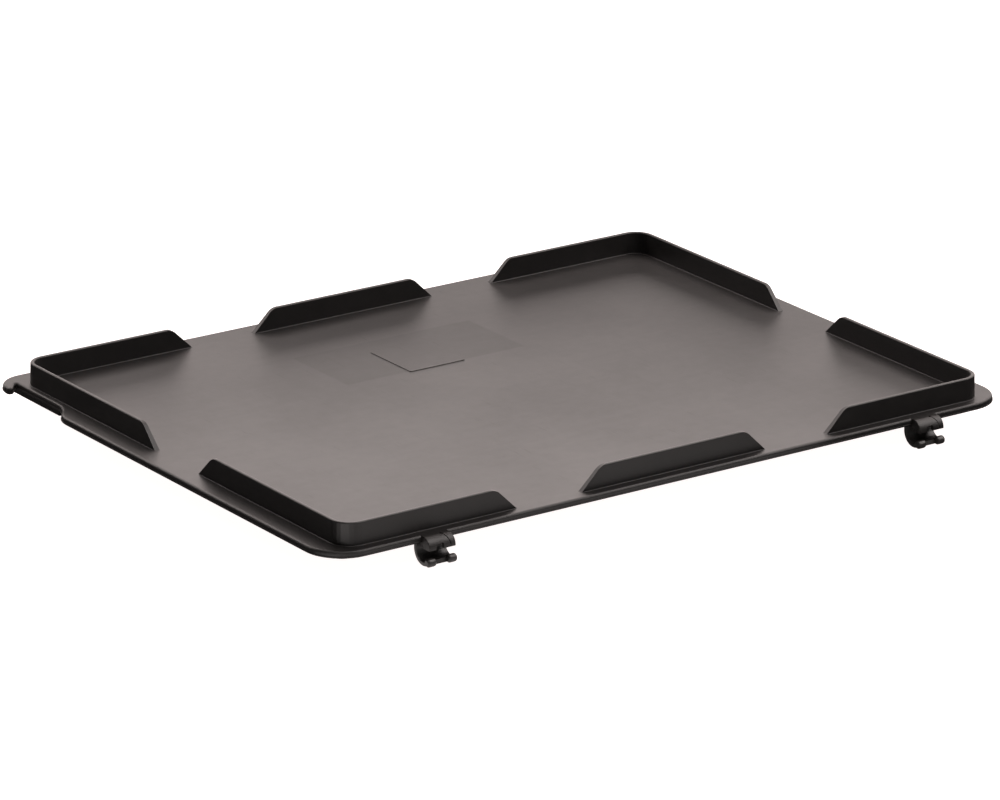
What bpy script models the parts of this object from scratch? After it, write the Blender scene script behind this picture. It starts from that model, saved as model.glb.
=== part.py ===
"""Hinged lid of a 400 x 300 mm stacking container: one moulded panel, two hinge links, two pins.

Lengths are in millimetres until an object is made, then in metres. The origin is the centre of the
lid's plan at the level of the deck. +X runs along the long side, +Z is up, and the hinge side is -Y.
"""

import math

import bmesh
import bpy
from mathutils import Matrix, Vector

MM = 0.001

# The panel
LENGTH = 400.0
WIDTH = 300.0
NEAR_CORNER = 19.5
FAR_CORNER = 14.5
DECK_UNDER = -2.6
DECK_ROUND = 1.3
SIDE_INSET = 0.3
LIP_TOP = -2.3
LIP_BOTTOM = -3.2
LIP_WIDTH = 1.7
LIP_ROUND = 0.25

# The finger notches, one in each short side near the far corner
NOTCH_DEPTH = 7.8
NOTCH_FROM = 80.0
NOTCH_FLAT_FROM = 101.0
NOTCH_HOOK = -50.0
NOTCH_HOOK_ROUND = 1.8
NOTCH_HOOK_ANGLE = -1.4
NOTCH_ROOT_ROUND = 0.5

# The stacking ribs
RIB_INSET = 11.4
RIB_INSET_HINGE = 6.0
RIB_INSET_FAR = 10.5
RIB_CORNER = 10.5
RIB_HEIGHT = 11.4
RIB_DRAFT = 0.26
RIB_FOOT = 2.6
RIB_TOP = 2.0
RIB_TOP_ROUND = 0.7
RIB_FILLET = 0.3
RIB_ROOT = -0.6
RIB_SINK = 0.02
RIB_SHOULDER_PARTS = (0.84, 0.88, 0.92, 0.96)
LONG_GAP_FROM = 54.0
LONG_GAP_TO = 91.4
SHORT_GAP = 19.3
SLOPE_RUN = 11.65
SLOPE_ROUND = 8.0
SLOPE_FILLET = 1.5

# The locating collar under the deck
COLLAR_INSET = 12.0
COLLAR_CORNER = 8.0
COLLAR_THICK = 2.0
COLLAR_ROOT = -2.2
COLLAR_BOTTOM = -8.0
COLLAR_ROUND = 0.5

# The grip wall that backs each finger notch, between the deck's underside and the collar
GRIP_OUTER = 191.5
GRIP_INNER = 187.2
GRIP_Y = (100.5, 144.5)
GRIP_ROOT = -1.9
GRIP_BOTTOM = -6.2
GRIP_ROUND = 0.6
GRIP_ROUND_MIDDLE = 0.3

# The raised plate on the deck
PLATE_X = (-22.5, 10.5)
PLATE_Y = (44.2, 80.0)
PLATE_HEIGHT = 0.35
PLATE_CORNER = 0.8
PLATE_ROUND = 0.15

# The hinge hoods
HOODS = {"left": -141.6, "right": 146.6}
HOOD_HALF = 7.4
HOOD_RADIUS = 5.3
HOOD_Y = -151.0
HOOD_Z = -5.32
HOOD_EDGE = 0.4
HOOD_BACK = 4.5
HOOD_TIP = ((0.0, -0.1), (0.1, -0.3), (0.35, -0.4))
HOOD_TIP_INNER = 0.1
CHEEK = 1.5
POCKET_RADIUS = 3.5
POCKET_TOP = -2.4
POCKET_INNER_Y = -146.0
LIP_NOTCH = (-3.6, 0.9)
LIP_NOTCH_TOP = -3.0
LIP_NOTCH_SLANT = (1.2, 1.6)
LIP_NOTCH_REACH = 2.6
CHEEK_BOTTOM = -5.7
CHEEK_TOE = ((1.3, 0.0), (1.8, 0.35), (2.1, 0.9))
CHEEK_ROOT = 2.4
CHEEK_SINK = 0.3
SLOT_X = (2.2, 5.2)
SLOT_WIDTH = 0.5
SLOT_HOLE = 0.65
SLOT_HOLE_Y = -151.2
SLOT_END_Y = -157.3

# The hinge links and pins
PIVOT_Y = -151.0
PIVOT_Z = -4.0
EYE_RADIUS = 1.9
EYE_HOLE = 0.88
PIN_RADIUS = 0.8
PIN_HOLE = 0.85
PIN_SHORT = 0.1
PIN_EDGE = 0.15
EYE_HALF = 5.6
ARM_TOP = -3.5
ARM_THICK = 1.9
BAND_Y = -152.9
BAND_Z = -6.0
BAND_RADIUS = 7.35
BAND_THICK = 2.0
BAND_TOP = -3.45
BAND_END = -113.0
BAND_X = (-8.9, 7.5)
BAND_EDGE = 0.35
BULB_Y = -155.9
BULB_Z = -11.35
BULB_RADIUS = 2.05
BULB_LENGTH = 4.8
BULB_ROUND = 1.1

# Finishes: colour, roughness
PANEL_FINISH = ((0.030, 0.029, 0.028), 0.45)
LINK_FINISH = ((0.034, 0.033, 0.032), 0.42)
PIN_FINISH = ((0.034, 0.033, 0.032), 0.38)
SHARP_ANGLE = 32.0

# Modelling: facets of an arc and a circle, how far a cutter overshoots, when points coincide
ARC_STEPS = 10
CIRCLE_STEPS = 24
OVERCUT = 1.0
CLOSE = 0.001


def clear_scene():
    for item in list(bpy.data.objects):
        bpy.data.objects.remove(item, do_unlink=True)


def arc(centre, radius, start, end, steps=ARC_STEPS):
    """Points on a circle from one angle to another, in degrees, both ends included."""
    points = []
    for index in range(steps + 1):
        angle = math.radians(start + (end - start) * index / steps)
        points.append((centre[0] + radius * math.cos(angle), centre[1] + radius * math.sin(angle)))
    return points


def circle(centre, radius):
    """The corners of a full circle, without the last point, which is the first."""
    return arc(centre, radius, 0, 360, CIRCLE_STEPS)[:-1]


def distinct(points):
    """The closed outline without points that fall on the one before."""
    kept = []
    for index, point in enumerate(points):
        if math.dist(point, points[index - 1]) > CLOSE:
            kept.append(point)
    return kept


def rounded(corners, steps=6):
    """The polygon with each corner (x, y, radius) rounded; a radius of 0 keeps it sharp."""
    points = []
    for index, (x, y, radius) in enumerate(corners):
        corner = Vector((x, y))
        if radius == 0:
            points.append((x, y))
            continue
        before = (Vector(corners[index - 1][:2]) - corner).normalized()
        after = (Vector(corners[(index + 1) % len(corners)][:2]) - corner).normalized()
        half = before.angle(after) / 2
        centre = corner + (before + after).normalized() * (radius / math.sin(half))
        first = corner + before * (radius / math.tan(half)) - centre
        last = corner + after * (radius / math.tan(half)) - centre
        turn = math.atan2(first.x * last.y - first.y * last.x, first.dot(last))
        start = math.degrees(math.atan2(first.y, first.x))
        points += arc(centre, radius, start, start + math.degrees(turn), steps)
    return distinct(points)


def inset(points, distance):
    """The closed counter-clockwise outline moved inward by a distance, corners mitred."""
    moved = []
    for index, point in enumerate(points):
        here = Vector(point)
        back = (here - Vector(points[index - 1])).normalized()
        on = (Vector(points[(index + 1) % len(points)]) - here).normalized()
        left_back = Vector((-back.y, back.x))
        left_on = Vector((-on.y, on.x))
        bisector = (left_back + left_on).normalized()
        moved.append(tuple(here + bisector * (distance / bisector.dot(left_on))))
    return moved


def rectangle(x0, y0, x1, y1, radius, steps=ARC_STEPS):
    return rounded([(x0, y0, radius), (x1, y0, radius), (x1, y1, radius), (x0, y1, radius)], steps)


def cap(mesh, row, ladder):
    """Closes one end of a skin, with one face, or with rungs between a symmetric ring's sides."""
    if not ladder:
        mesh.faces.new(row)
        return
    half = len(row) // 2
    for index in range(half - 1):
        mesh.faces.new((row[index], row[index + 1], row[-index - 2], row[-index - 1]))


def skin(name, rings, closed=False, ladder=False):
    """A solid skinned over rings of 3-D points, capped at both ends, or joined end to end."""
    mesh = bmesh.new()
    rows = []
    for ring in rings:
        rows.append([mesh.verts.new(point) for point in ring])
    pairs = list(zip(rows, rows[1:]))
    if closed:
        pairs.append((rows[-1], rows[0]))
    else:
        cap(mesh, rows[0], ladder)
        cap(mesh, rows[-1], ladder)
    for low, high in pairs:
        for index in range(len(low)):
            mesh.faces.new((low[index - 1], low[index], high[index], high[index - 1]))
    bmesh.ops.recalc_face_normals(mesh, faces=mesh.faces)
    data = bpy.data.meshes.new(name)
    mesh.to_mesh(data)
    mesh.free()
    item = bpy.data.objects.new(name, data)
    bpy.context.scene.collection.objects.link(item)
    return item


def on_plan(points, z):
    return [(x, y, z) for x, y in points]


def on_side(points, x):
    return [(x, y, z) for y, z in points]


def on_front(points, y):
    return [(x, y, z) for x, z in points]


def walls(name, outline, section):
    """A wall that follows a plan outline. The section lists (inset, height) points, closed."""
    rings = [on_plan(inset(outline, distance), z) for distance, z in section]
    return skin(name, rings, closed=True)


def bar(name, profile, x0, x1, edge=0.0):
    """A bar along X with the (y, z) profile, its two ends rounded by the edge radius."""
    if edge == 0:
        return skin(name, [on_side(profile, x0), on_side(profile, x1)])
    steps = 3
    rings = []
    for index in range(steps + 1):
        angle = math.pi / 2 * index / steps
        shrink = edge * (1 - math.sin(angle))
        rings.append(on_side(inset(profile, shrink), x0 + edge * (1 - math.cos(angle))))
    for index in range(steps, -1, -1):
        angle = math.pi / 2 * index / steps
        shrink = edge * (1 - math.sin(angle))
        rings.append(on_side(inset(profile, shrink), x1 - edge * (1 - math.cos(angle))))
    return skin(name, rings)


def apply_boolean(target, tool, operation):
    """Joins or cuts the target with the tool, then removes the tool."""
    modifier = target.modifiers.new(operation.title(), "BOOLEAN")
    modifier.operation = operation
    modifier.solver = "EXACT"
    modifier.object = tool
    graph = bpy.context.evaluated_depsgraph_get()
    result = bpy.data.meshes.new_from_object(target.evaluated_get(graph))
    target.modifiers.clear()
    old = target.data
    name = old.name
    target.data = result
    bpy.data.meshes.remove(old)
    result.name = name
    bpy.data.objects.remove(tool, do_unlink=True)


def join(target, tool):
    apply_boolean(target, tool, "UNION")


def cut(target, tool):
    apply_boolean(target, tool, "DIFFERENCE")


def lid_outline():
    """The plan outline of the panel, counter-clockwise, with a finger notch in each short side."""
    half_x = LENGTH / 2
    half_y = WIDTH / 2
    bottom = half_x - NOTCH_DEPTH
    rise = (NOTCH_FLAT_FROM - NOTCH_FROM) / 2
    sway = NOTCH_DEPTH / 2
    radius = (sway**2 + rise**2) / (2 * sway)
    swing = math.degrees(math.asin(rise / radius))
    far = (half_x - FAR_CORNER, half_y - FAR_CORNER)
    tip = arc(far, FAR_CORNER - NOTCH_HOOK_ROUND, NOTCH_HOOK_ANGLE, 90, 1)[0]
    touch = arc(tip, NOTCH_HOOK_ROUND, NOTCH_HOOK - 90, 0, 1)[0]
    root_y = touch[1] + (bottom - touch[0]) * math.tan(math.radians(NOTCH_HOOK))
    wedge = math.radians((90 + NOTCH_HOOK) / 2)
    root = (bottom + NOTCH_ROOT_ROUND, root_y - NOTCH_ROOT_ROUND / math.tan(wedge))
    right = arc((half_x - NEAR_CORNER, NEAR_CORNER - half_y), NEAR_CORNER, -90, 0)
    right += arc((half_x - radius, NOTCH_FROM), radius, 0, swing, 5)
    right += arc((bottom + radius, NOTCH_FLAT_FROM), radius, 180 + swing, 180, 5)[1:]
    right += arc(root, NOTCH_ROOT_ROUND, 180, NOTCH_HOOK + 90, 4)
    right += arc(tip, NOTCH_HOOK_ROUND, NOTCH_HOOK - 90, NOTCH_HOOK_ANGLE, 6)
    right += arc(far, FAR_CORNER, NOTCH_HOOK_ANGLE, 90, 8)[1:]
    left = [(-x, y) for x, y in reversed(right)]
    return right + left


def deck():
    """The flat deck, its rounded upper edge and the slightly proud lip that runs round the skirt."""
    steps = 4
    section = [
        (LIP_WIDTH, DECK_UNDER),
        (LIP_WIDTH, LIP_BOTTOM),
        (LIP_ROUND, LIP_BOTTOM),
        (0.0, LIP_BOTTOM + LIP_ROUND),
        (0.0, LIP_TOP - LIP_ROUND),
        (LIP_ROUND / 2, LIP_TOP),
        (SIDE_INSET, LIP_TOP),
    ]
    for index in range(steps + 1):
        angle = math.pi / 2 * index / steps
        across = SIDE_INSET + DECK_ROUND * (1 - math.cos(angle))
        section.append((across, DECK_ROUND * (math.sin(angle) - 1)))
    outline = lid_outline()
    rings = [on_plan(inset(outline, across), z) for across, z in section]
    return skin("lid_panel", rings)


def rib_levels():
    """The drafted rib in section, from root to top: (outer inset, inner inset, height)."""
    crown = RIB_HEIGHT - RIB_TOP_ROUND
    quarter = [math.pi / 2 * index / 3 for index in range(4)]
    levels = [(-RIB_FILLET, RIB_FOOT + RIB_FILLET, RIB_ROOT)]
    for angle in quarter:
        out = RIB_FILLET * (1 - math.sin(angle))
        levels.append((-out, RIB_FOOT + out, RIB_FILLET * (1 - math.cos(angle)) - RIB_SINK))
    for part in RIB_SHOULDER_PARTS:
        narrow = RIB_FOOT + (RIB_DRAFT + RIB_TOP - RIB_FOOT) * part
        levels.append((RIB_DRAFT * part, narrow, crown * part))
    for angle in quarter:
        back = RIB_DRAFT + RIB_TOP_ROUND * (1 - math.cos(angle))
        width = RIB_DRAFT + RIB_TOP - RIB_TOP_ROUND * (1 - math.cos(angle))
        levels.append((back, width, crown + RIB_TOP_ROUND * math.sin(angle)))
    return levels


def end_shift(height):
    """How far a rib's sloping end draws back at a height: fillet, slope, then rounded shoulder."""
    slope = math.atan2(RIB_HEIGHT, SLOPE_RUN)
    lean = SLOPE_FILLET * math.tan(slope / 2)
    fall = SLOPE_ROUND * math.tan(slope / 2)
    if height < lean * math.sin(slope):
        return math.sqrt(SLOPE_FILLET**2 - (SLOPE_FILLET - max(height, 0)) ** 2) - lean
    if height < RIB_HEIGHT - fall * math.sin(slope):
        return height / math.tan(slope)
    rise = height - (RIB_HEIGHT - SLOPE_ROUND)
    return SLOPE_RUN + fall - math.sqrt(SLOPE_ROUND**2 - rise**2)


def rib(path):
    """One rib along a path of (point, inward direction), with a sloping end at each end."""
    levels = rib_levels()
    last = len(path) - 1
    rings = []
    for index, (point, inward) in enumerate(path):
        if index == 0:
            along = (path[1][0] - point).normalized()
        elif index == last:
            along = (path[index - 1][0] - point).normalized()
        else:
            along = Vector((0, 0))
        outer = []
        inner = []
        for start, end, height in levels:
            shift = along * end_shift(height)
            outer.append((*(point + inward * start + shift), height))
            inner.append((*(point + inward * end + shift), height))
        rings.append(outer + inner[::-1])
    return skin("rib", rings, ladder=True)


def corner_path(side_x, side_y, near, far):
    """The path of a corner rib, from its long-side end round the corner to its short-side end."""
    half_x = LENGTH / 2 - RIB_INSET
    edge_y = far if side_y > 0 else near
    middle = (near + far) / 2
    centre = Vector((side_x * (half_x - RIB_CORNER), edge_y - side_y * RIB_CORNER))
    path = [(Vector((side_x * LONG_GAP_TO, edge_y)), Vector((0, -side_y)))]
    for across, up in arc((0, 0), 1, 90, 0, 8):
        outward = Vector((side_x * across, side_y * up))
        path.append((centre + outward * RIB_CORNER, -outward))
    end = Vector((side_x * half_x, middle + side_y * SHORT_GAP))
    path.append((end, Vector((-side_x, 0))))
    return path


def ribs():
    """The six stacking ribs: one round each corner and one in the middle of each long side."""
    near = RIB_INSET_HINGE - WIDTH / 2
    far = WIDTH / 2 - RIB_INSET_FAR
    for side_y, edge_y in ((-1, near), (1, far)):
        inward = Vector((0, -side_y))
        start = Vector((-LONG_GAP_FROM, edge_y))
        end = Vector((LONG_GAP_FROM, edge_y))
        yield rib([(start, inward), (end, inward)])
        for side_x in (-1, 1):
            yield rib(corner_path(side_x, side_y, near, far))


def collar():
    """The locating collar that drops inside the container's rim."""
    outline = rectangle(
        COLLAR_INSET - LENGTH / 2,
        COLLAR_INSET - WIDTH / 2,
        LENGTH / 2 - COLLAR_INSET,
        WIDTH / 2 - COLLAR_INSET,
        COLLAR_CORNER,
    )
    section = [
        (0.0, COLLAR_ROOT),
        (0.0, COLLAR_BOTTOM + COLLAR_ROUND),
        (COLLAR_ROUND, COLLAR_BOTTOM),
        (COLLAR_THICK - COLLAR_ROUND, COLLAR_BOTTOM),
        (COLLAR_THICK, COLLAR_BOTTOM + COLLAR_ROUND),
        (COLLAR_THICK, COLLAR_ROOT),
    ]
    return walls("collar", outline, section)


def grip(side):
    """The wall behind one finger notch, its lower outer edge rounded."""
    outer = side * GRIP_OUTER
    inner = side * GRIP_INNER
    turn = side * GRIP_ROUND
    section = [
        (inner, GRIP_ROOT),
        (inner, GRIP_BOTTOM),
        (outer - turn, GRIP_BOTTOM),
        (outer - turn * GRIP_ROUND_MIDDLE, GRIP_BOTTOM + GRIP_ROUND * GRIP_ROUND_MIDDLE),
        (outer, GRIP_BOTTOM + GRIP_ROUND),
        (outer, GRIP_ROOT),
    ]
    return skin("grip", [on_front(section, y) for y in GRIP_Y])


def plate():
    """The plain raised plate on the deck."""
    outline = rectangle(PLATE_X[0], PLATE_Y[0], PLATE_X[1], PLATE_Y[1], PLATE_CORNER, 3)
    rings = [
        on_plan(outline, -PLATE_HEIGHT),
        on_plan(outline, PLATE_HEIGHT - PLATE_ROUND),
        on_plan(inset(outline, PLATE_ROUND), PLATE_HEIGHT),
    ]
    return skin("plate", rings)


def hood_section(shrink):
    """The hood and its cheek seen along X, with the outer curve drawn in by a distance."""
    radius = HOOD_RADIUS - shrink
    points = [(HOOD_Y + HOOD_BACK, HOOD_Z + radius)]
    points += arc((HOOD_Y, HOOD_Z), radius, 90, 180, 12)
    points += [(HOOD_Y - radius + across, HOOD_Z + up) for across, up in HOOD_TIP]
    points.append((HOOD_Y - POCKET_RADIUS - HOOD_TIP_INNER, points[-1][1]))
    points += [(PIVOT_Y + across, CHEEK_BOTTOM + up) for across, up in CHEEK_TOE]
    points.append((PIVOT_Y + CHEEK_ROOT, DECK_UNDER + CHEEK_SINK))
    points.append((HOOD_Y + HOOD_BACK, DECK_UNDER + CHEEK_SINK))
    return points


def hood(centre):
    """The quarter-round hood that grows out of the hinge edge, solid between its ends."""
    rings = []
    steps = 4
    for side in (-1, 1):
        ends = []
        for index in range(steps + 1):
            angle = math.pi / 2 * index / steps
            shrink = HOOD_EDGE * (1 - math.sin(angle))
            x = centre + side * (HOOD_HALF - HOOD_EDGE * (1 - math.cos(angle)))
            ends.append(on_side(hood_section(shrink), x))
        if side > 0:
            ends.reverse()
        rings += ends
    return skin("hood", rings)


def hood_cutters(centre):
    """What is taken out of one hood: the pocket, the notch in its lip, the slot and pin holes."""
    inner = HOOD_HALF - CHEEK
    lift = math.degrees(math.asin((POCKET_TOP - HOOD_Z) / POCKET_RADIUS))
    deep = COLLAR_BOTTOM
    pocket = [(HOOD_Y - POCKET_RADIUS, deep)]
    pocket += arc((HOOD_Y, HOOD_Z), POCKET_RADIUS, 180, lift, 16)
    pocket += [(POCKET_INNER_Y, POCKET_TOP), (POCKET_INNER_Y, deep)]
    yield bar("pocket", pocket, centre - inner, centre + inner)
    notch = [
        (centre + LIP_NOTCH[0], deep),
        (centre + LIP_NOTCH[1], deep),
        (centre + LIP_NOTCH[1], LIP_NOTCH_TOP),
        (centre + LIP_NOTCH[0] + LIP_NOTCH_SLANT[0], LIP_NOTCH_TOP),
        (centre + LIP_NOTCH[0], LIP_NOTCH_TOP - LIP_NOTCH_SLANT[1]),
    ]
    outside = HOOD_Y - HOOD_RADIUS - OVERCUT
    yield skin("notch", [on_front(notch, outside), on_front(notch, HOOD_Y - LIP_NOTCH_REACH)])
    slot = [
        (centre + SLOT_X[1] - SLOT_WIDTH / 2, SLOT_END_Y),
        (centre + SLOT_X[1] + SLOT_WIDTH / 2, SLOT_END_Y),
        (centre + SLOT_X[0] + SLOT_WIDTH / 2, SLOT_HOLE_Y),
        (centre + SLOT_X[0] - SLOT_WIDTH / 2, SLOT_HOLE_Y),
    ]
    yield skin("slot", [on_plan(slot, deep), on_plan(slot, OVERCUT)])
    hole = circle((centre + SLOT_X[0], SLOT_HOLE_Y), SLOT_HOLE)
    floor = HOOD_Z + POCKET_RADIUS - OVERCUT
    yield skin("slot_hole", [on_plan(hole, floor), on_plan(hole, OVERCUT)])
    bore = circle((PIVOT_Y, PIVOT_Z), PIN_HOLE)
    yield bar("bore", bore, centre - HOOD_HALF - OVERCUT, centre + HOOD_HALF + OVERCUT)


def make_lid():
    lid = deck()
    for piece in ribs():
        join(lid, piece)
    join(lid, collar())
    for side in (-1, 1):
        join(lid, grip(side))
    join(lid, plate())
    for centre in HOODS.values():
        join(lid, hood(centre))
        for tool in hood_cutters(centre):
            cut(lid, tool)
    return lid


def band_profile():
    """The curved band of the link, from under the deck round to the lower jaw."""
    inner = BAND_RADIUS - BAND_THICK
    rise = BAND_TOP - BAND_Z
    outer_start = math.degrees(math.asin(rise / BAND_RADIUS))
    inner_start = math.degrees(math.asin(rise / inner))
    points = arc((BAND_Y, BAND_Z), BAND_RADIUS, BAND_END, outer_start, 20)
    points += arc((BAND_Y, BAND_Z), inner, inner_start, BAND_END, 20)
    return points


def bulb(name, x0, x1):
    """One rounded trunnion of the lower jaw."""
    steps = 5
    rings = []
    for side, end in ((1, x0), (-1, x1)):
        dome = []
        for index in range(steps + 1):
            angle = math.pi / 2 * index / steps
            radius = BULB_RADIUS - BULB_ROUND * (1 - math.sin(angle))
            x = end + side * BULB_ROUND * (1 - math.cos(angle))
            dome.append(on_side(circle((BULB_Y, BULB_Z), radius), x))
        if side < 0:
            dome.reverse()
        rings += dome
    return skin(name, rings)


def make_link(side, centre):
    start = centre + BAND_X[0]
    end = centre + BAND_X[1]
    link = bar("hinge_link_" + side, band_profile(), start, end, BAND_EDGE)
    join(link, bulb("bulb", start, start + BULB_LENGTH))
    join(link, bulb("bulb", end - BULB_LENGTH, end))
    arm_end = BAND_Y + BAND_RADIUS - BAND_THICK / 2
    arm = [
        (PIVOT_Y, ARM_TOP - ARM_THICK),
        (arm_end, ARM_TOP - ARM_THICK),
        (arm_end, ARM_TOP),
        (PIVOT_Y, ARM_TOP),
    ]
    join(link, bar("arm", arm, centre - EYE_HALF, centre + EYE_HALF))
    eye = circle((PIVOT_Y, PIVOT_Z), EYE_RADIUS)
    join(link, bar("eye", eye, centre - EYE_HALF, centre + EYE_HALF))
    bore = circle((PIVOT_Y, PIVOT_Z), EYE_HOLE)
    cut(link, bar("bore", bore, centre - HOOD_HALF, centre + HOOD_HALF))
    return link


def make_pin(side, centre):
    half = HOOD_HALF - PIN_SHORT
    profile = circle((PIVOT_Y, PIVOT_Z), PIN_RADIUS)
    return bar("hinge_pin_" + side, profile, centre - half, centre + half, PIN_EDGE)


def place(item, origin):
    """Turns the object's lengths into metres, with its own origin at the given point."""
    item.data.transform(Matrix.Translation(-origin))
    item.data.transform(Matrix.Scale(MM, 4))
    item.location = origin * MM


def finish(item, colour, roughness):
    """Gives the object its own plastic material and smooth shading with sharp edges kept."""
    material = bpy.data.materials.new(item.name)
    material.use_nodes = True
    shader = material.node_tree.nodes["Principled BSDF"]
    shader.inputs["Base Color"].default_value = (*colour, 1.0)
    shader.inputs["Roughness"].default_value = roughness
    shader.inputs["Metallic"].default_value = 0.0
    item.data.materials.clear()
    item.data.materials.append(material)
    item.data.shade_smooth()
    item.data.set_sharp_from_angle(angle=math.radians(SHARP_ANGLE))


clear_scene()
lid = make_lid()
place(lid, Vector((0, 0, 0)))
finish(lid, *PANEL_FINISH)
for side, centre in HOODS.items():
    pivot = Vector((centre, PIVOT_Y, PIVOT_Z))
    link = make_link(side, centre)
    place(link, pivot)
    finish(link, *LINK_FINISH)
    pin = make_pin(side, centre)
    place(pin, pivot)
    finish(pin, *PIN_FINISH)
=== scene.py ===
"""Hinged lid of a 400 x 300 mm container: materials, floor, light and camera over the CAD frame."""

import math

import bpy
from mathutils import Matrix, Vector


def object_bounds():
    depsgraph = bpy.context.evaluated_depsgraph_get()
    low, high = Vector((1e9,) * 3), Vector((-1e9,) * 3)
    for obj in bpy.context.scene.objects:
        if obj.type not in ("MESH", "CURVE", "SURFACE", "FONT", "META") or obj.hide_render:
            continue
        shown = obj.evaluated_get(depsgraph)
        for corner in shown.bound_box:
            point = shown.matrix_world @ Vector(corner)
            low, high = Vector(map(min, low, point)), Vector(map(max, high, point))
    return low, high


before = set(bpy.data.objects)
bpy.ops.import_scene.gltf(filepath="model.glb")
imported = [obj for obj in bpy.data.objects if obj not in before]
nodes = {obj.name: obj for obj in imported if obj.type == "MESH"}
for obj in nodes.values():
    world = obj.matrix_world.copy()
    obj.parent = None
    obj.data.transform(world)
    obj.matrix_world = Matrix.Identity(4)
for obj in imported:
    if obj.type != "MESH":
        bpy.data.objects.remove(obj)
cad_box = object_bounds()

# Camera: angles in degrees, distance in metres, lens and sensor in millimetres
VIEW_AZIMUTH = -35.26
VIEW_ELEVATION = 19.16
VIEW_ROLL = 0.384
VIEW_DISTANCE = 3.0961
LENS = 227.08
SENSOR = 36.0
SHIFT = (0.00084, -0.01208)

# Black plastic: colours, and the range of roughness over each piece
PANEL_DARK = (0.0040, 0.0034, 0.0031)
PANEL_LIGHT = (0.0062, 0.0053, 0.0049)
PANEL_ROUGH = (0.42, 0.48)
CLIP_DARK = (0.0085, 0.0080, 0.0078)
CLIP_LIGHT = (0.0135, 0.0125, 0.0120)
LINK_ROUGH = (0.30, 0.38)
PIN_ROUGH = (0.34, 0.40)
IOR = 1.42

# Noise: scale, detail and roughness of each pattern, and the values most of a pattern lies between
PATCHES = (11.0, 4.0, 0.5)
MOTTLING = (150.0, 4.0, 0.6)
GRAIN = (2200.0, 2.0, 0.5)
FLOW = (14.0, 5.0, 0.6)
SCUFFS = (22.0, 5.0, 0.6)
EDGE_BREAKS = (220.0, 5.0, 0.6)
NOISE_LOW = 0.3
NOISE_HIGH = 0.7

# Long marks: how much finer each axis is than the mark's own direction
FLOW_STRETCH = (1.0, 14.0, 14.0)
SCUFF_STRETCH = (30.0, 2.0, 30.0)
SCUFF_START = 0.63
SCUFF_FULL = 0.70

# What each pattern adds to the roughness
MOTTLING_ROUGH = 0.015
FLOW_ROUGH = 0.007
SCUFF_ROUGH = 0.04
EDGE_ROUGH = 0.08
PATCH_ROUGH = 0.045

# Polished edges, lighter in colour partly as wear and partly as a painted highlight: width in
# metres, the normals' cosines at 0 and 1, and how much lighter they are
EDGE_WIDTH = 0.0007
EDGE_SAMPLES = 6
EDGE_START = 0.98
EDGE_FULL = 0.80
EDGE_BREAK_START = 0.42
EDGE_BREAK_FULL = 0.62
EDGE_LEAST = 0.25
EDGE_MIX = 0.8
EDGE_WEAR_AND_HIGHLIGHT_LIGHTER = 3.0

# Fine grain: depths in metres
GRAIN_STRENGTH = 0.6
PANEL_GRAIN = 0.00002
CLIP_GRAIN = 0.00001

# The duller patch of the deck round the plate
PATCH_X = (-0.060, 0.048)
PATCH_Y = (0.0445, 0.095)
PATCH_FADE = 0.0015

# Floor
FLOOR_HALF = 6.0
FLOOR_GAP = 0.0002
FLOOR_COLOUR = (0.35, 0.35, 0.35, 1.0)
FLOOR_ROUGH = 0.9
FLOOR_GLOW_COLOUR = (1.0, 0.935, 0.92, 1.0)
FLOOR_GLOW = 1.06

# Light
WALL_COLOUR = (1.0, 0.885, 0.855)
BOX_COLOUR = (1.0, 0.93, 0.91)
WORLD_COLOUR = (0.05, 0.05, 0.05, 1.0)

# The lit stretches of floor that show in the near ribs: centre, size, radiance
BOUNCES = {
    "front": ((-0.12, -0.30), (0.44, 0.34), 1.1),
    "corner": ((-0.30, -0.23), (0.15, 0.15), 3.0),
}


def new_material(name):
    material = bpy.data.materials.new(name)
    material.use_nodes = True
    tree = material.node_tree
    return material, tree, tree.nodes["Principled BSDF"]


def add(tree, kind, **settings):
    node = tree.nodes.new(kind)
    for key, value in settings.items():
        setattr(node, key, value)
    return node


def noise(tree, vector, pattern):
    node = add(tree, "ShaderNodeTexNoise")
    for name, value in zip(("Scale", "Detail", "Roughness"), pattern):
        node.inputs[name].default_value = value
    tree.links.new(vector, node.inputs["Vector"])
    return node.outputs["Fac"]


def span(tree, value, low, high, to_low, to_high):
    node = add(tree, "ShaderNodeMapRange")
    node.inputs["From Min"].default_value = low
    node.inputs["From Max"].default_value = high
    node.inputs["To Min"].default_value = to_low
    node.inputs["To Max"].default_value = to_high
    tree.links.new(value, node.inputs["Value"])
    return node.outputs["Result"]


def spread(tree, pattern, to_low, to_high):
    """A noise pattern stretched over a range."""
    return span(tree, pattern, NOISE_LOW, NOISE_HIGH, to_low, to_high)


def calculate(tree, operation, first, second):
    """A maths node over two values, each a socket or a number."""
    node = add(tree, "ShaderNodeMath", operation=operation)
    for socket, value in zip(node.inputs, (first, second)):
        if isinstance(value, float):
            socket.default_value = value
        else:
            tree.links.new(value, socket)
    return node.outputs["Value"]


def mix_colour(tree, factor, first, second):
    """A mix of two colours, each a socket or a tuple."""
    node = add(tree, "ShaderNodeMix", data_type="RGBA")
    tree.links.new(factor, node.inputs["Factor"])
    for name, value in (("A", first), ("B", second)):
        if isinstance(value, tuple):
            node.inputs[name].default_value = (*value, 1.0)
        else:
            tree.links.new(value, node.inputs[name])
    return node.outputs["Result"]


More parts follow.
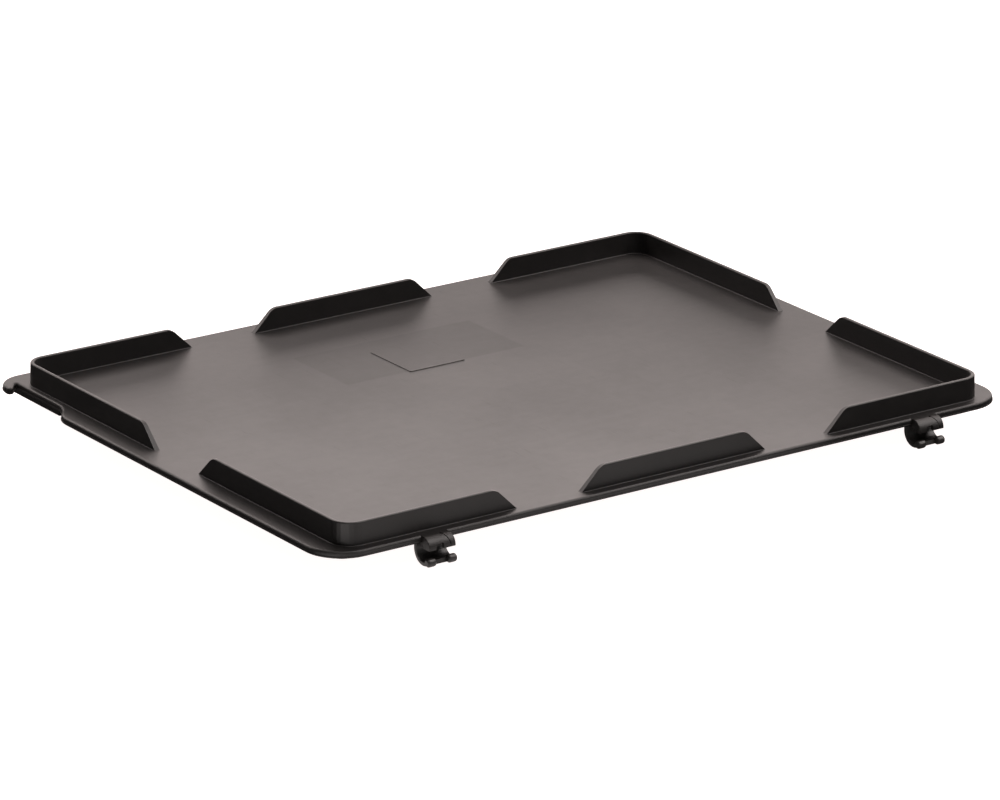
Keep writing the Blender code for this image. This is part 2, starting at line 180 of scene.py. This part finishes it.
def worn_and_highlit_edges(tree, coord):
    """How near a point is to a sharp edge, broken up by noise, from 0 to 1; it sets the edges'
    polish and their lighter colour, which is partly wear and partly a painted highlight.
    """
    bevel = add(tree, "ShaderNodeBevel", samples=EDGE_SAMPLES)
    bevel.inputs["Radius"].default_value = EDGE_WIDTH
    geometry = add(tree, "ShaderNodeNewGeometry")
    turn = add(tree, "ShaderNodeVectorMath", operation="DOT_PRODUCT")
    tree.links.new(bevel.outputs["Normal"], turn.inputs[0])
    tree.links.new(geometry.outputs["Normal"], turn.inputs[1])
    edge = span(tree, turn.outputs["Value"], EDGE_START, EDGE_FULL, 0.0, 1.0)
    breaks = noise(tree, coord, EDGE_BREAKS)
    breaks = span(tree, breaks, EDGE_BREAK_START, EDGE_BREAK_FULL, EDGE_LEAST, 1.0)
    return calculate(tree, "MULTIPLY", edge, breaks)


def streaks(tree, coord, stretch, pattern):
    """Long faint marks along one direction."""
    mapping = add(tree, "ShaderNodeMapping")
    mapping.inputs["Scale"].default_value = stretch
    tree.links.new(coord, mapping.inputs["Vector"])
    return noise(tree, mapping.outputs["Vector"], pattern)


def patch_mask(tree, coord):
    """1 inside the duller patch of the deck, fading to 0 at its edge."""
    split = add(tree, "ShaderNodeSeparateXYZ")
    tree.links.new(coord, split.inputs["Vector"])
    sides = []
    for axis, (low, high) in (("X", PATCH_X), ("Y", PATCH_Y)):
        offset = calculate(tree, "SUBTRACT", split.outputs[axis], (low + high) / 2)
        reach = calculate(tree, "ABSOLUTE", offset, 0.0)
        half = (high - low) / 2
        sides.append(span(tree, reach, half, half - PATCH_FADE, 0.0, 1.0))
    return calculate(tree, "MULTIPLY", *sides)


def black_plastic(name, dark, light, rough, grain_depth, patch=0.0):
    """Moulded black plastic: fine grain, flow mottling, scuffs and slightly polished edges, whose
    lighter colour is partly wear and partly a painted highlight.
    """
    material, tree, shader = new_material(name)
    coord = add(tree, "ShaderNodeTexCoord").outputs["Object"]
    patches = noise(tree, coord, PATCHES)
    mottling = noise(tree, coord, MOTTLING)
    grain = noise(tree, coord, GRAIN)
    flow = streaks(tree, coord, FLOW_STRETCH, FLOW)
    scuffs = streaks(tree, coord, SCUFF_STRETCH, SCUFFS)
    scuffs = span(tree, scuffs, SCUFF_START, SCUFF_FULL, 0.0, 1.0)
    edge = worn_and_highlit_edges(tree, coord)

    base = mix_colour(tree, spread(tree, mottling, 0.0, 1.0), dark, light)
    # Edges lightened in the base colour: partly wear, partly a painted highlight along the edges.
    wear_and_highlight_colour = tuple(value * EDGE_WEAR_AND_HIGHLIGHT_LIGHTER for value in light)
    base = mix_colour(tree, calculate(tree, "MULTIPLY", edge, EDGE_MIX), base, wear_and_highlight_colour)
    tree.links.new(base, shader.inputs["Base Color"])

    level = spread(tree, patches, *rough)
    for pattern, amount in ((mottling, MOTTLING_ROUGH), (flow, FLOW_ROUGH)):
        level = calculate(tree, "ADD", level, spread(tree, pattern, -amount, amount))
    level = calculate(tree, "ADD", level, calculate(tree, "MULTIPLY", scuffs, SCUFF_ROUGH))
    level = calculate(tree, "SUBTRACT", level, calculate(tree, "MULTIPLY", edge, EDGE_ROUGH))
    if patch:
        duller = calculate(tree, "MULTIPLY", patch_mask(tree, coord), patch)
        level = calculate(tree, "ADD", level, duller)
    tree.links.new(level, shader.inputs["Roughness"])

    bump = add(tree, "ShaderNodeBump")
    bump.inputs["Strength"].default_value = GRAIN_STRENGTH
    bump.inputs["Distance"].default_value = grain_depth
    tree.links.new(grain, bump.inputs["Height"])
    tree.links.new(bump.outputs["Normal"], shader.inputs["Normal"])
    shader.inputs["IOR"].default_value = IOR
    return material


def area(name, place, size, radiance, colour, aim=(0, 0, 0)):
    """A soft rectangular light that points at a place, set by the brightness of its face."""
    data = bpy.data.lights.new(name, "AREA")
    data.shape = "RECTANGLE"
    data.size, data.size_y = size
    data.energy = radiance * math.pi * size[0] * size[1]
    data.color = colour
    light = bpy.data.objects.new(name, data)
    bpy.context.scene.collection.objects.link(light)
    light.location = place
    light.rotation_euler = (Vector(aim) - Vector(place)).to_track_quat("-Z", "Y").to_euler()
    light.visible_camera = False
    return light


def make_floor():
    mesh = bpy.data.meshes.new("floor")
    level = cad_box[0].z - FLOOR_GAP
    turns = ((-1, -1), (1, -1), (1, 1), (-1, 1))
    corners = [(x * FLOOR_HALF, y * FLOOR_HALF, level) for x, y in turns]
    mesh.from_pydata(corners, [], [(0, 1, 2, 3)])
    floor = bpy.data.objects.new("floor", mesh)
    bpy.context.scene.collection.objects.link(floor)
    material, tree, shader = new_material("floor_white")
    shader.inputs["Base Color"].default_value = FLOOR_COLOUR
    shader.inputs["Roughness"].default_value = FLOOR_ROUGH
    shader.inputs["Emission Color"].default_value = FLOOR_GLOW_COLOUR
    shader.inputs["Emission Strength"].default_value = FLOOR_GLOW
    mesh.materials.append(material)
    # Only the bounce lights show in the plastic, so that the end ribs stay dark.
    floor.visible_glossy = False


def make_bounces():
    """Upward lights on the floor, in front of the lid, that only show in reflections."""
    level = cad_box[0].z
    for name, ((x, y), size, radiance) in BOUNCES.items():
        bounce = area(name, (x, y, level), size, radiance, BOX_COLOUR, (x, y, level + 1.0))
        bounce.visible_diffuse = False


def make_camera():
    azimuth = math.radians(VIEW_AZIMUTH)
    elevation = math.radians(VIEW_ELEVATION)
    roll = math.radians(VIEW_ROLL)
    reach = math.cos(elevation)
    back = Vector((math.sin(azimuth) * reach, -math.cos(azimuth) * reach, math.sin(elevation)))
    side = Vector((0, 0, 1)).cross(back).normalized()
    top = back.cross(side)
    right = side * math.cos(roll) + top * math.sin(roll)
    up = top * math.cos(roll) - side * math.sin(roll)
    data = bpy.data.cameras.new("camera")
    data.sensor_width = SENSOR
    data.lens = LENS
    data.shift_x, data.shift_y = SHIFT
    camera = bpy.data.objects.new("camera", data)
    bpy.context.scene.collection.objects.link(camera)
    turn = Matrix((right, up, back)).transposed().to_4x4()
    camera.matrix_world = Matrix.Translation(back * VIEW_DISTANCE) @ turn
    bpy.context.scene.camera = camera


def make_world():
    world = bpy.data.worlds.new("studio")
    world.use_nodes = True
    world.node_tree.nodes["Background"].inputs["Color"].default_value = WORLD_COLOUR
    bpy.context.scene.world = world


panel = black_plastic(
    "panel_plastic", PANEL_DARK, PANEL_LIGHT, PANEL_ROUGH, PANEL_GRAIN, PATCH_ROUGH
)
link = black_plastic("link_plastic", CLIP_DARK, CLIP_LIGHT, LINK_ROUGH, CLIP_GRAIN)
pin = black_plastic("pin_plastic", CLIP_DARK, CLIP_LIGHT, PIN_ROUGH, CLIP_GRAIN)
for name, node in nodes.items():
    node.data.materials.clear()
    node.data.materials.append(pin if "pin" in name else link if "link" in name else panel)

make_floor()
make_camera()
# Each light's name, place, size, radiance and colour, and what it aims at if not the lid's middle
area("back_wall", (1.9, 2.7, 0.55), (6.0, 1.1), 3.0, WALL_COLOUR, (0, 0, 0.55))
area("boom", (0.17, 0.25, 0.36), (1.4, 0.35), 3.5, WALL_COLOUR, (-0.1, -0.15, 0))
area("key", (1.4, -0.9, 2.0), (1.8, 1.8), 5.5, BOX_COLOUR)
make_bounces()
area("side", (-0.9, 2.1, 1.6), (1.4, 1.4), 1.6, BOX_COLOUR)
area("top", (-0.45, -0.65, 2.4), (1.2, 1.2), 4.5, BOX_COLOUR)
area("front_wall", (0.3, -2.9, 1.1), (4.0, 1.0), 0.7, BOX_COLOUR)
make_world()
bpy.context.scene.view_settings.view_transform = "Standard"
